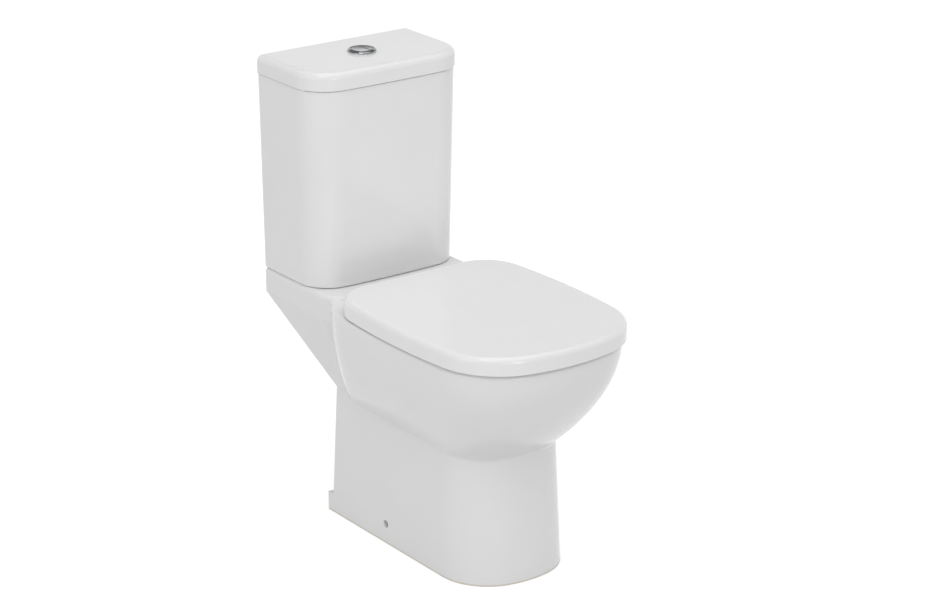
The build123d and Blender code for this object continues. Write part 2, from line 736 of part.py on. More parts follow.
for name, side, rod_x in (("full_flush", -1, full_rod_x), ("half_flush", 1, half_rod_x)):
    cut_x = button_split_x + side * button_split_gap / 2
    with BuildPart() as button:
        with BuildSketch(Plane.XY.offset(button_bottom)):
            with Locations((0, from_wall(button_reach))):
                Circle(button_radius)
            with Locations((cut_x, from_wall(button_reach))):
                Rectangle(3 * button_radius, 3 * button_radius, mode=Mode.INTERSECT,
                          align=(Align.MAX if side < 0 else Align.MIN, Align.CENTER))
        extrude(amount=button_skirt)
        fillet(button.faces().sort_by(Axis.Z)[-1].edges(), button_edge_radius)
        with BuildSketch(Plane.XY.offset(button_bottom)):
            with Locations((0, from_wall(button_reach))):
                Circle(button_radius - button_wall)
            with Locations((cut_x + side * button_wall, from_wall(button_reach))):
                Rectangle(3 * button_radius, 3 * button_radius, mode=Mode.INTERSECT,
                          align=(Align.MAX if side < 0 else Align.MIN, Align.CENTER))
        extrude(amount=button_ceiling - button_bottom, mode=Mode.SUBTRACT)
        with BuildSketch(Plane.XY.offset(button_ceiling - boss_length)):
            with Locations((rod_x, from_wall(button_reach))):
                Circle(boss_radius)
        extrude(amount=boss_length)
        with BuildSketch(Plane.XY.offset(button_ceiling - boss_length)):
            with Locations((rod_x, from_wall(button_reach))):
                Circle(rod_radius + thread_gap)
        extrude(amount=boss_length - 1, mode=Mode.SUBTRACT)
    button.part.label = name + "_button"
    export_step(button.part, "parts/" + name + "_button.step")

    rod_bottom = tower_top + plunger_proud + rod_gap
    with BuildPart() as rod:
        with BuildSketch(Plane.XY.offset(rod_bottom)):
            with Locations((rod_x, from_wall(button_reach))):
                Circle(rod_radius)
        extrude(amount=button_ceiling - 1 - rod_bottom)
        with BuildSketch(Plane.XY.offset(rod_bottom)):
            with Locations((rod_x, from_wall(button_reach))):
                Circle(rod_radius + rod_foot_rim)
        extrude(amount=rod_foot_height)
    rod.part.label = name + "_rod"
    export_step(rod.part, "parts/" + name + "_rod.step")

    spring_height = button_ceiling - spring_floor - 2 * spring_wire_radius
    with BuildPart() as spring:
        with BuildLine():
            coil = Helix(spring_height / spring_turns, spring_height, spring_radius,
                         center=(rod_x, from_wall(button_reach), spring_floor + spring_wire_radius))
        with BuildSketch(Plane(coil @ 0, z_dir=coil % 0)):
            RegularPolygon(spring_wire_radius, 6)
        sweep(is_frenet=True)
    spring.part.label = name + "_spring"
    export_step(spring.part, "parts/" + name + "_spring.step")

    with BuildPart() as plunger:
        with BuildSketch(Plane.XY.offset(tower_top + plunger_proud - plunger_length)):
            with Locations((rod_x, from_wall(button_reach))):
                Circle(plunger_radius)
        extrude(amount=plunger_length)
    plunger.part.label = name + "_plunger"
    export_step(plunger.part, "parts/" + name + "_plunger.step")

# ---------------------------------------------------------------- flush valve

flange_bottom = floor_top + washer_height
flange_top = flange_bottom + valve_flange_height
basket_top = flange_top + basket_height
lip_radius = tail_bore_radius + seat_lip_wall

with BuildPart() as flush_valve_base:
    add(turned([(tail_bore_radius, tail_bottom), (tail_radius, tail_bottom),
                (tail_radius, flange_bottom), (valve_flange_radius, flange_bottom),
                (valve_flange_radius, flange_top), (basket_radius, flange_top),
                (basket_radius, basket_top), (basket_radius - basket_wall, basket_top),
                (basket_radius - basket_wall, flange_top), (lip_radius, flange_top),
                (lip_radius, flange_top + seat_lip_height),
                (tail_bore_radius, flange_top + seat_lip_height)]))
    window_middle = flange_top + window_sill + window_height / 2
    with Locations((0, from_wall(cistern_hole_reach), window_middle)):
        with PolarLocations(basket_radius, window_count):
            Box(4 * basket_wall, window_width, window_height, mode=Mode.SUBTRACT)
flush_valve_base.part.label = "flush_valve_base"
export_step(flush_valve_base.part, "parts/flush_valve_base.step")

with BuildPart() as flush_valve_tower:
    neck_top = basket_top + tower_neck_height
    inside = tower_radius - tower_wall
    add(turned([(basket_radius, basket_top), (basket_radius, basket_top + tower_collar_height),
                (tower_radius, neck_top), (tower_radius, tower_top), (0, tower_top),
                (0, tower_top - tower_roof), (inside, tower_top - tower_roof), (inside, neck_top),
                (basket_radius - basket_wall, basket_top + tower_collar_height - 1),
                (basket_radius - basket_wall, basket_top)]))
    with BuildSketch(Plane.XY.offset(tower_top)):
        with Locations((full_rod_x, from_wall(button_reach)), (half_rod_x, from_wall(button_reach))):
            Circle(plunger_radius + plunger_gap)
    extrude(amount=-tower_roof - 1, mode=Mode.SUBTRACT)
    slot_middle = neck_top + tower_slot_start + tower_slot_height / 2
    with Locations((0, from_wall(cistern_hole_reach), slot_middle)):
        with PolarLocations(tower_radius, tower_slot_count):
            Box(4 * tower_wall, tower_slot_width, tower_slot_height, mode=Mode.SUBTRACT)
flush_valve_tower.part.label = "flush_valve_tower"
export_step(flush_valve_tower.part, "parts/flush_valve_tower.step")

seal_bottom = flange_top + seat_lip_height
seal_top = seal_bottom + washer_height
disc_top = seal_top + core_disc_thickness
overflow_bore = overflow_radius - overflow_wall
with BuildPart() as flush_valve_core:
    cup_bottom = disc_top + core_cup_start
    cup_top = cup_bottom + core_cup_height
    add(turned([(overflow_bore, seal_top - washer_height), (overflow_radius, seal_top - washer_height),
                (overflow_radius, seal_top), (core_disc_radius, seal_top),
                (core_disc_radius, disc_top), (overflow_radius, disc_top),
                (overflow_radius, cup_top - core_cup_wall),
                (core_cup_radius - core_cup_wall, cup_top - core_cup_wall),
                (core_cup_radius - core_cup_wall, cup_bottom), (core_cup_radius, cup_bottom),
                (core_cup_radius, cup_top), (overflow_radius, cup_top),
                (overflow_radius, overflow_top), (overflow_bore, overflow_top)]))
flush_valve_core.part.label = "flush_valve_core"
export_step(flush_valve_core.part, "parts/flush_valve_core.step")

rings = (
    ("flush_valve_seal", 0, cistern_hole_reach, overflow_radius + seal_gap, core_disc_radius - 1,
     seal_bottom, washer_height),
    ("flush_valve_washer", 0, cistern_hole_reach, tail_radius + seal_gap, valve_flange_radius,
     floor_top, washer_height),
    ("coupling_gasket", 0, cistern_hole_reach, backnut_radius + gasket_bore_gap, gasket_radius,
     ledge_top, floor_underside - ledge_top),
    ("fill_valve_washer", supply_x, supply_reach, inlet_tail_radius + seal_gap, fill_flange_radius,
     floor_top, washer_height),
)
for name, x, reach, bore, radius, bottom, height in rings:
    with BuildPart() as ring:
        with BuildSketch(Plane.XY.offset(bottom)):
            with Locations((x, from_wall(reach))):
                Circle(radius)
                Circle(bore, mode=Mode.SUBTRACT)
        extrude(amount=height)
    ring.part.label = name
    export_step(ring.part, "parts/" + name + ".step")

backnuts = (
    ("flush_valve_backnut", 0, cistern_hole_reach, tail_radius, backnut_radius, backnut_height,
     backnut_side_count),
    ("fill_valve_backnut", supply_x, supply_reach, inlet_tail_radius, fill_backnut_radius,
     fill_backnut_height, fill_backnut_side_count),
)
for name, x, reach, bore, radius, height, sides in backnuts:
    with BuildPart() as backnut:
        with BuildSketch(Plane.XY.offset(floor_underside - height)):
            with Locations((x, from_wall(reach))):
                RegularPolygon(radius, sides)
                Circle(bore + thread_gap, mode=Mode.SUBTRACT)
        extrude(amount=height)
    backnut.part.label = name
    export_step(backnut.part, "parts/" + name + ".step")

# ---------------------------------------------------------------- coupling

bolt_places = [(-bolt_half_spacing, from_wall(cistern_hole_reach)),
               (bolt_half_spacing, from_wall(cistern_hole_reach))]
bolt_head_bottom = floor_top + bolt_seal_height

with BuildPart() as coupling_bolts:
    with BuildSketch(Plane.XY.offset(bolt_head_bottom)):
        with Locations(bolt_places):
            RegularPolygon(bolt_head_radius, 6)
    extrude(amount=bolt_head_height)
    with BuildSketch(Plane.XY.offset(ledge_underside - bolt_below_ledge)):
        with Locations(bolt_places):
            Circle(bolt_radius)
    extrude(amount=bolt_head_bottom - ledge_underside + bolt_below_ledge + 1)
coupling_bolts.part.label = "coupling_bolts"
export_step(coupling_bolts.part, "parts/coupling_bolts.step")


def washers(places, bottom, height, radius, bore, name):
    """Flat washers at these places, one node."""
    with BuildPart() as flat_washers:
        with BuildSketch(Plane.XY.offset(bottom)):
            with Locations(places):
                Circle(radius)
                Circle(bore, mode=Mode.SUBTRACT)
        extrude(amount=height)
    flat_washers.part.label = name
    export_step(flat_washers.part, "parts/" + name + ".step")


def wing_nuts(places, top, bore, name):
    """Wing nuts that are tightened upwards against a washer, one node."""
    with BuildPart() as nuts:
        with BuildSketch(Plane.XY.offset(top - wing_nut_height)):
            with Locations(places):
                Circle(wing_nut_hub_radius)
        extrude(amount=wing_nut_height)
        with BuildSketch(Plane.XY.offset(top - wing_nut_height - 4)):
            with Locations(places):
                SlotOverall(wing_span, 4)
        extrude(amount=wing_nut_height)
        with BuildSketch(Plane.XY.offset(top - wing_nut_height - 4)):
            with Locations(places):
                Circle(bore + thread_gap)
        extrude(amount=wing_nut_height + 4, mode=Mode.SUBTRACT)
    nuts.part.label = name
    export_step(nuts.part, "parts/" + name + ".step")


washers(bolt_places, floor_top, bolt_seal_height, bolt_seal_radius, bolt_radius + seal_gap, "coupling_seals")
washers(bolt_places, ledge_underside - small_washer_height, small_washer_height,
        small_washer_radius, bolt_radius + 0.3, "coupling_washers")
wing_nuts(bolt_places, ledge_underside - small_washer_height, bolt_radius, "coupling_wing_nuts")

# ---------------------------------------------------------------- fill valve

fill_flange_bottom = floor_top + washer_height
head_top = fill_stem_top + head_base_height + head_cap_height
with BuildPart() as fill_valve_stem:
    fill_flange_top = fill_flange_bottom + fill_flange_height
    thread_top = inlet_tail_bottom + inlet_thread_length
    add(turned([(inlet_bore_radius, inlet_tail_bottom), (inlet_tail_radius, inlet_tail_bottom),
                (inlet_tail_radius, thread_top), (inlet_tail_radius - inlet_groove_depth, thread_top),
                (inlet_tail_radius - inlet_groove_depth, thread_top + inlet_groove_width),
                (inlet_tail_radius, thread_top + inlet_groove_width),
                (inlet_tail_radius, fill_flange_bottom), (fill_flange_radius, fill_flange_bottom),
                (fill_flange_radius, fill_flange_top), (fill_stem_radius, fill_flange_top + 6),
                (fill_stem_radius, fill_stem_top), (inlet_bore_radius, fill_stem_top)],
               0, supply_x, supply_reach))
fill_valve_stem.part.label = "fill_valve_stem"
export_step(fill_valve_stem.part, "parts/fill_valve_stem.step")

arm_axis_height = head_top + 2 + arm_height / 2
pivot_reach = supply_reach - arm_pivot_offset
tie_reach = supply_reach + arm_rod_offset
with BuildPart() as fill_valve_head:
    with BuildSketch(Plane.XY.offset(fill_stem_top)):
        with Locations((supply_x, from_wall(supply_reach))):
            Circle(head_base_radius)
    extrude(amount=head_base_height)
    with BuildSketch(Plane.XY.offset(fill_stem_top + head_base_height)):
        with Locations((supply_x, from_wall(supply_reach))):
            Circle(head_cap_radius)
    extrude(amount=head_cap_height)
    fillet(fill_valve_head.faces().sort_by(Axis.Z)[-1].edges(), 2)
    # two ears that hold the arm's pivot
    for side in (-1, 1):
        ear_x = supply_x + side * (arm_width / 2 + arm_ear_gap)
        with BuildSketch(Plane.YZ.offset(ear_x)):
            with Locations((from_wall(pivot_reach), arm_axis_height)):
                Circle(arm_height)
            with Locations((from_wall(pivot_reach), arm_axis_height)):
                Rectangle(2 * arm_height, arm_axis_height - head_top + 14, align=(Align.CENTER, Align.MAX))
            with Locations((from_wall(pivot_reach), head_top - 8)):
                Rectangle(arm_pivot_offset, 8, align=(Align.MAX, Align.CENTER))
            with Locations((from_wall(pivot_reach), arm_axis_height)):
                Circle(arm_pin_radius + arm_pin_gap, mode=Mode.SUBTRACT)
        extrude(amount=side * arm_ear_width)
fill_valve_head.part.label = "fill_valve_head"
export_step(fill_valve_head.part, "parts/fill_valve_head.step")

with BuildPart() as fill_valve_arm:
    arm_back = pivot_reach - arm_height / 2
    arm_front = tie_reach + arm_end
    with BuildSketch(Plane.YZ.offset(supply_x)):
        with Locations((from_wall((arm_back + arm_front) / 2), arm_axis_height)):
            SlotOverall(arm_front - arm_back, arm_height)
    extrude(amount=arm_width / 2, both=True)
    with BuildSketch(Plane.XY.offset(arm_axis_height - arm_height)):
        with Locations((supply_x, from_wall(tie_reach + arm_slot_offset))):
            SlotOverall(arm_slot_length, 2 * (tie_rod_radius + arm_slot_gap), rotation=90)
    extrude(amount=2 * arm_height, mode=Mode.SUBTRACT)
    with BuildSketch(Plane.YZ.offset(supply_x)):
        with Locations((from_wall(pivot_reach), arm_axis_height)):
            Circle(arm_pin_radius)
    extrude(amount=arm_width / 2 + arm_ear_gap + arm_ear_width + 0.5, both=True)
fill_valve_arm.part.label = "fill_valve_arm"
export_step(fill_valve_arm.part, "parts/fill_valve_arm.step")

with BuildPart() as fill_valve_float:
    with BuildSketch(Plane.XY.offset(float_bottom)):
        with Locations((supply_x, from_wall(supply_reach))):
            Circle(float_radius)
    extrude(amount=float_height)
    fillet(fill_valve_float.edges(), 3)
    with BuildSketch(Plane.XY.offset(float_bottom)):
        with Locations((supply_x, from_wall(supply_reach))):
            Circle(fill_stem_radius + float_bore_gap)
    extrude(amount=float_height, mode=Mode.SUBTRACT)
    tie_top = arm_axis_height + arm_height + 4
    with BuildSketch(Plane.XY.offset(float_bottom + float_height - 4)):
        with Locations((supply_x, from_wall(tie_reach))):
            Circle(tie_rod_radius)
    extrude(amount=tie_top - float_bottom - float_height + 4)
    for bottom in (arm_axis_height - 8.5, arm_axis_height + 5.5):
        with BuildSketch(Plane.XY.offset(bottom)):
            with Locations((supply_x, from_wall(tie_reach))):
                Circle(tie_rod_radius + 2.2)
        extrude(amount=2.5)
fill_valve_float.part.label = "fill_valve_float"
export_step(fill_valve_float.part, "parts/fill_valve_float.step")

# ---------------------------------------------------------------- seat, cover and hinges


def cover_outline(height, inset):
    """Outline of the seat cover, or of what lies inside it."""
    with BuildSketch(Plane.XY.offset(height)) as outline:
        add(plan_outline(0, cover_half_width, projection, cover_back_reach, seat_front_bow,
                         seat_front_corner, seat_back_corner, seat_side_bow))
        if inset > 0:
            offset(amount=-inset, mode=Mode.REPLACE)
    return outline.sketch


cover_top = cover_bottom + cover_height
cover_ceiling = cover_top - cover_wall
seat_bottom = rim_top + buffer_height
seat_top = seat_bottom + seat_thickness
seat_back_reach = hinge_reach + seat_back_gap
hinge_y = from_wall(hinge_reach)
pillar_inner = hinge_half_spacing - pillar_width / 2
pillar_outer = hinge_half_spacing + pillar_width / 2


def hinge_eye(near_x, width, web_points):
    """An eye round the hinge pin with the web that joins it to its panel."""
    with BuildPart() as eye:
        with BuildSketch(Plane.YZ.offset(near_x)):
            with Locations((hinge_y, hinge_axis_height)):
                Circle(hinge_eye_radius)
            with BuildLine():
                Polyline(*web_points, close=True)
            make_face()
            with Locations((hinge_y, hinge_axis_height)):
                Circle(hinge_pin_radius + hinge_running_gap, mode=Mode.SUBTRACT)
        extrude(amount=width)
    return eye.part


with BuildPart() as seat_ring:
    with BuildSketch(Plane.XY.offset(seat_bottom)):
        add(cover_outline(0, cover_wall + seat_gap))
        with Locations((0, from_wall(seat_back_reach))):
            Rectangle(3 * cover_half_width, 2 * seat_back_reach, align=(Align.CENTER, Align.MIN),
                      mode=Mode.SUBTRACT)
        add(plan_outline(0, seat_opening_half_width, seat_opening_front, seat_opening_back, 34, 74,
                         66, 8), mode=Mode.SUBTRACT)
    extrude(amount=seat_thickness)
    fillet(seat_ring.faces().sort_by(Axis.Z)[-1].edges(), 5)
    for side in (-1, 1):
        near = pillar_inner - hinge_side_gap - (seat_eye_width if side > 0 else 0)
        back_y = from_wall(seat_back_reach) - 4
        add(hinge_eye(side * near, seat_eye_width,
                      [(hinge_y, hinge_axis_height - hinge_eye_radius), (hinge_y, seat_top - 1),
                       (back_y, seat_top - 1), (back_y, hinge_axis_height - hinge_eye_radius)]))
seat_ring.part.label = "seat_ring"
export_step(seat_ring.part, "parts/seat_ring.step")

with BuildPart() as seat_cover:
    with BuildSketch(Plane.XY.offset(cover_bottom)):
        add(cover_outline(0, 0))
    extrude(amount=cover_height)
    fillet(seat_cover.faces().sort_by(Axis.Z)[-1].edges(), cover_edge_radius)
    with BuildSketch(Plane.XY.offset(cover_bottom)):
        add(cover_outline(0, cover_wall))
    extrude(amount=cover_ceiling - cover_bottom, mode=Mode.SUBTRACT)
    # the back is open between the hinges, and the rest of it is cut short to swing clear
    opening = pillar_outer + hinge_side_gap + cover_eye_width + 4
    with BuildSketch(Plane.XY.offset(cover_bottom)):
        with Locations((0, from_wall(cover_back_reach + cover_wall + 2))):
            Rectangle(2 * opening, 40, align=(Align.CENTER, Align.MIN))
    extrude(amount=cover_ceiling - cover_bottom, mode=Mode.SUBTRACT)
    with BuildSketch(Plane.XY.offset(cover_bottom)):
        with Locations((0, from_wall(cover_back_reach + cover_trim_length))):
            Rectangle(3 * cover_half_width, 2 * cover_trim_length, align=(Align.CENTER, Align.MIN))
    extrude(amount=cover_trim_height, mode=Mode.SUBTRACT)
    for side in (-1, 1):
        near = pillar_outer + hinge_side_gap + (0 if side > 0 else cover_eye_width)
        half_web = hinge_eye_radius
        add(hinge_eye(side * near, cover_eye_width,
                      [(hinge_y - half_web, hinge_axis_height), (hinge_y + half_web, hinge_axis_height),
                       (hinge_y + half_web, cover_ceiling + 1), (hinge_y - half_web, cover_ceiling + 1)]))
seat_cover.part.label = "seat_cover"
export_step(seat_cover.part, "parts/seat_cover.step")

with BuildPart() as seat_buffers:
    with BuildSketch(Plane.XY.offset(rim_top)):
        with Locations(*[(side * (rim_half_width - buffer_side_inset), from_wall(reach))
                         for side in (-1, 1) for reach in seat_buffer_reaches]):
            SlotOverall(buffer_length, 2 * buffer_radius, rotation=90)
    extrude(amount=buffer_height)
seat_buffers.part.label = "seat_buffers"
export_step(seat_buffers.part, "parts/seat_buffers.step")

with BuildPart() as cover_buffers:
    with BuildSketch(Plane.XY.offset(seat_top)):
        with Locations(*[(side * (rim_half_width - cover_buffer_side_inset), from_wall(reach))
                         for side in (-1, 1) for reach in cover_buffer_reaches]):
            Circle(buffer_radius * 0.8)
    extrude(amount=cover_ceiling - seat_top)
cover_buffers.part.label = "cover_buffers"
export_step(cover_buffers.part, "parts/cover_buffers.step")

hinge_places = [(-hinge_half_spacing, hinge_y), (hinge_half_spacing, hinge_y)]
with BuildPart() as hinge_pillars:
    with BuildSketch(Plane.XY.offset(rim_top)):
        with Locations(hinge_places):
            Circle(pillar_foot_radius)
    extrude(amount=pillar_foot_height)
    for side in (-1, 1):
        with BuildSketch(Plane.YZ.offset(side * hinge_half_spacing)):
            with Locations((hinge_y, hinge_axis_height)):
                Circle(pillar_thickness / 2)
            with Locations((hinge_y, rim_top + 1)):
                Rectangle(pillar_thickness, hinge_axis_height - rim_top - 1,
                          align=(Align.CENTER, Align.MIN))
            with Locations((hinge_y, hinge_axis_height)):
                Circle(hinge_pin_radius + 0.02, mode=Mode.SUBTRACT)
        extrude(amount=pillar_width / 2, both=True)
    with BuildSketch(Plane.XY.offset(rim_top)):
        with Locations(hinge_places):
            Circle(stud_radius + thread_gap)
    extrude(amount=7, mode=Mode.SUBTRACT)
hinge_pillars.part.label = "hinge_pillars"
export_step(hinge_pillars.part, "parts/hinge_pillars.step")

pin_inner = pillar_inner - hinge_side_gap - seat_eye_width - 0.5
pin_outer = pillar_outer + hinge_side_gap + cover_eye_width + 0.5
with BuildPart() as hinge_pins:
    for side in (-1, 1):
        with BuildSketch(Plane.YZ.offset(side * pin_inner)):
            with Locations((hinge_y, hinge_axis_height)):
                Circle(hinge_pin_radius)
        extrude(amount=side * (pin_outer - pin_inner))
hinge_pins.part.label = "hinge_pins"
export_step(hinge_pins.part, "parts/hinge_pins.step")

slab_underside = rim_top - hinge_slab
with BuildPart() as hinge_studs:
    with BuildSketch(Plane.XY.offset(rim_top + 7)):
        with Locations(hinge_places):
            Circle(stud_radius)
    extrude(amount=-stud_length)
hinge_studs.part.label = "hinge_studs"
export_step(hinge_studs.part, "parts/hinge_studs.step")
washers(hinge_places, slab_underside - small_washer_height, small_washer_height,
        small_washer_radius, stud_radius + 0.3, "hinge_washers")
wing_nuts(hinge_places, slab_underside - small_washer_height, stud_radius, "hinge_wing_nuts")
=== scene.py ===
import json
import math

import bpy
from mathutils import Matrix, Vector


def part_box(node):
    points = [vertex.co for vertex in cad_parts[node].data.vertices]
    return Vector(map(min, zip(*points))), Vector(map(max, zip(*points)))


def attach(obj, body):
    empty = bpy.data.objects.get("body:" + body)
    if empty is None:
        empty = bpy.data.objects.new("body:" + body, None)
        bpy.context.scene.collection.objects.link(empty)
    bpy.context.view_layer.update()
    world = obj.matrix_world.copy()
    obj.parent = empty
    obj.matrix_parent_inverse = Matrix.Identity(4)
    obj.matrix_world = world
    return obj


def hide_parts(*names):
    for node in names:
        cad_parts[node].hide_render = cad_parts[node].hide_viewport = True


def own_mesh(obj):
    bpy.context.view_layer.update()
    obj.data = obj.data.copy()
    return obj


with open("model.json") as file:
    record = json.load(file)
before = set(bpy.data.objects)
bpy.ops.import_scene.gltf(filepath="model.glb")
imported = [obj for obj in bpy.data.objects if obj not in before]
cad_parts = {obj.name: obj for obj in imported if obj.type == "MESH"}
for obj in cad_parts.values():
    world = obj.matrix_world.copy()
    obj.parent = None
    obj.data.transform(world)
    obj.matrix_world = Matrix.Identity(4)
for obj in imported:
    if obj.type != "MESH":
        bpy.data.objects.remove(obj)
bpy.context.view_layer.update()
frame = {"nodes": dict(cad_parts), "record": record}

MM = 0.001


def srgb(hex_value):
    """An sRGB hex colour as the linear values that the shaders work in."""
    channels = [int(hex_value[i:i + 2], 16) / 255 for i in (1, 3, 5)]
    linear = [c / 12.92 if c <= 0.04045 else ((c + 0.055) / 1.055) ** 2.4 for c in channels]
    return (*linear, 1.0)


def add_node(material, kind, inputs=None, **settings):
    """Adds one node; an input that is given as a socket is linked, any other is set."""
    tree = material.node_tree
    node = tree.nodes.new("ShaderNode" + kind)
    for name, value in settings.items():
        setattr(node, name, value)
    for name, value in (inputs or {}).items():
        if isinstance(value, bpy.types.NodeSocket):
            tree.links.new(value, node.inputs[name])
        else:
            node.inputs[name].default_value = value
    return node


def new_material(name):
    """A node material that holds no nodes yet."""
    material = bpy.data.materials.new(name)
    material.use_nodes = True
    material.node_tree.nodes.clear()
    return material


# ------------------------------------------------------------------ materials

# Vitreous china, slip cast and spray glazed: a white body under a clear glossy glaze. The glaze
# lies in very slow waves, so reflections wander a little, with a faint orange peel over them. The
# foot stands on bare biscuit, where the glaze is wiped off before firing. The biscuit's grain is
# drawn coarser than it is, so that it shows.
biscuit_top = 2.0 * MM
glaze_edge = 3.2 * MM

china = new_material("vitreous_china_glaze")
on_piece = add_node(china, "TexCoord").outputs["Object"]
glaze_cloud = add_node(china, "TexNoise", {"Vector": on_piece, "Scale": 1 / (90 * MM),
                                           "Detail": 2.0, "Roughness": 0.45})
glaze_tone = add_node(china, "Mix", {"Factor": glaze_cloud.outputs[0], "A": srgb("#EEEEEE"),
                                     "B": srgb("#F2F2F2")}, data_type="RGBA")
biscuit_grain = add_node(china, "TexNoise", {"Vector": on_piece, "Scale": 1 / (1.2 * MM),
                                             "Detail": 3.0})
biscuit_tone = add_node(china, "Mix", {"Factor": biscuit_grain.outputs[0], "A": srgb("#D6CFC0"),
                                       "B": srgb("#E2DCCF")}, data_type="RGBA")
above_floor = add_node(china, "SeparateXYZ", {"Vector": on_piece})
bare_foot = add_node(china, "MapRange", {"Value": above_floor.outputs["Z"],
                                         "From Min": biscuit_top, "From Max": glaze_edge,
                                         "To Min": 1.0, "To Max": 0.0})
china_colour = add_node(china, "Mix", {"Factor": bare_foot.outputs[0],
                                       "A": glaze_tone.outputs["Result"],
                                       "B": biscuit_tone.outputs["Result"]}, data_type="RGBA")
china_roughness = add_node(china, "MapRange", {"Value": bare_foot.outputs[0], "To Min": 0.07,
                                               "To Max": 0.7})
glaze_wave = add_node(china, "TexNoise", {"Vector": on_piece, "Scale": 1 / (55 * MM),
                                          "Detail": 1.0, "Roughness": 0.3})
wave_bump = add_node(china, "Bump", {"Height": glaze_wave.outputs[0], "Distance": 0.35 * MM,
                                     "Strength": 0.5})
glaze_peel = add_node(china, "TexNoise", {"Vector": on_piece, "Scale": 1 / (4 * MM),
                                          "Detail": 2.0, "Roughness": 0.4})
peel_bump = add_node(china, "Bump", {"Height": glaze_peel.outputs[0], "Distance": 0.012 * MM,
                                     "Strength": 0.5, "Normal": wave_bump.outputs[0]})
china_shader = add_node(china, "BsdfPrincipled", {"Base Color": china_colour.outputs["Result"],
                                                  "Roughness": china_roughness.outputs[0],
                                                  "IOR": 1.52, "Normal": peel_bump.outputs[0]})
add_node(china, "OutputMaterial", {"Surface": china_shader.outputs[0]})


def moulded(name, tones, cloud_size, cloud_detail, grain_size, grain_detail, grain_height,
            grain_strength, roughness, ior):
    """A moulding compound, whose two tones drift in clouds under the grain that its mould left."""
    first_tone, second_tone = tones
    compound = new_material(name)
    on_piece = add_node(compound, "TexCoord").outputs["Object"]
    cloud = add_node(compound, "TexNoise", {"Vector": on_piece, "Scale": 1 / cloud_size,
                                            "Detail": cloud_detail})
    tone = add_node(compound, "Mix", {"Factor": cloud.outputs[0], "A": srgb(first_tone),
                                      "B": srgb(second_tone)}, data_type="RGBA")
    grain = add_node(compound, "TexNoise", {"Vector": on_piece, "Scale": 1 / grain_size,
                                            "Detail": grain_detail})
    grain_bump = add_node(compound, "Bump", {"Height": grain.outputs[0],
                                             "Distance": grain_height,
                                             "Strength": grain_strength})
    shader = add_node(compound, "BsdfPrincipled", {"Base Color": tone.outputs["Result"],
                                                   "Roughness": roughness, "IOR": ior,
                                                   "Normal": grain_bump.outputs[0]})
    add_node(compound, "OutputMaterial", {"Surface": shader.outputs[0]})
    return compound


# Urea-formaldehyde, hot pressed in polished moulds: a dense, bright white with a hard gloss, a
# little more even and a little whiter than the china beside it.
thermoset = moulded("pressed_urea_white", tones=("#F1F1F1", "#F4F4F4"),
                    cloud_size=35 * MM, cloud_detail=3.0, grain_size=3 * MM, grain_detail=2.0,
                    grain_height=0.01 * MM, grain_strength=0.5, roughness=0.14, ior=1.55)

# Acetal and ABS, injection moulded: satin, faintly grey, with the grain of a spark-eroded mould,
# drawn coarser than it is, so that it shows.
valve_white = moulded("moulded_acetal_white", tones=("#D9DBD8", "#E4E5E2"),
                      cloud_size=18 * MM, cloud_detail=2.0, grain_size=0.8 * MM, grain_detail=3.0,
                      grain_height=0.03 * MM, grain_strength=0.6, roughness=0.42, ior=1.48)

# The same mouldings in a blue batch, for what moves inside the cistern.
valve_blue = moulded("moulded_acetal_blue", tones=("#2F6CA3", "#3A78AE"),
                     cloud_size=14 * MM, cloud_detail=2.0, grain_size=0.8 * MM, grain_detail=3.0,
                     grain_height=0.03 * MM, grain_strength=0.6, roughness=0.4, ior=1.48)

# EPDM rubber, compression moulded: nearly black and matt, with a pale bloom here and there. Its
# fine skin is drawn coarse, so that it shows.
rubber = moulded("moulded_epdm_black", tones=("#1F2022", "#303133"),
                 cloud_size=12 * MM, cloud_detail=4.0, grain_size=1.0 * MM, grain_detail=4.0,
                 grain_height=0.06 * MM, grain_strength=0.7, roughness=0.68, ior=1.52)

# Soft white EVA, moulded: the seat's buffers, satin and slightly warmer than the seat.
buffer_soft = moulded("moulded_eva_white", tones=("#DAD9D5", "#E6E5E1"),
                      cloud_size=6 * MM, cloud_detail=3.0, grain_size=6 * MM, grain_detail=3.0,
                      grain_height=0.08 * MM, grain_strength=0.5, roughness=0.5, ior=1.48)

# Chromium plate over moulded plastic: a cool mirror, with hairlines from wiping, drawn coarser
# than they are, so that they show. The buttons' tops are dished from the rim to the middle.
dish_depth = 1.0 * MM
button_reach = 18 * MM
bezel_low, bezel_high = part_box("button_bezel")

chrome = new_material("bright_chromium_plate")
on_piece = add_node(chrome, "TexCoord").outputs["Object"]
wiping = add_node(chrome, "Mapping", {"Vector": on_piece,
                                      "Scale": (1 / (0.6 * MM), 1 / (9 * MM), 1 / (3 * MM))})
hairlines = add_node(chrome, "TexNoise", {"Vector": wiping.outputs[0], "Scale": 1.0, "Detail": 2.0})
chrome_roughness = add_node(chrome, "MapRange", {"Value": hairlines.outputs[0], "From Min": 0.35,
                                                 "From Max": 0.75, "To Min": 0.07, "To Max": 0.16})
hairline_bump = add_node(chrome, "Bump", {"Height": hairlines.outputs[0], "Distance": 0.004 * MM,
                                          "Strength": 0.5})
from_axis = add_node(chrome, "VectorMath", {0: on_piece, 1: (bezel_low + bezel_high) / 2},
                     operation="SUBTRACT")
across = add_node(chrome, "VectorMath", {0: from_axis.outputs[0], 1: (1, 1, 0)},
                  operation="MULTIPLY")
radius_squared = add_node(chrome, "VectorMath", {0: across.outputs[0], 1: across.outputs[0]},
                          operation="DOT_PRODUCT")
dish_bump = add_node(chrome, "Bump", {"Height": radius_squared.outputs["Value"],
                                      "Distance": dish_depth / button_reach ** 2,
                                      "Strength": 1.0, "Normal": hairline_bump.outputs[0]})
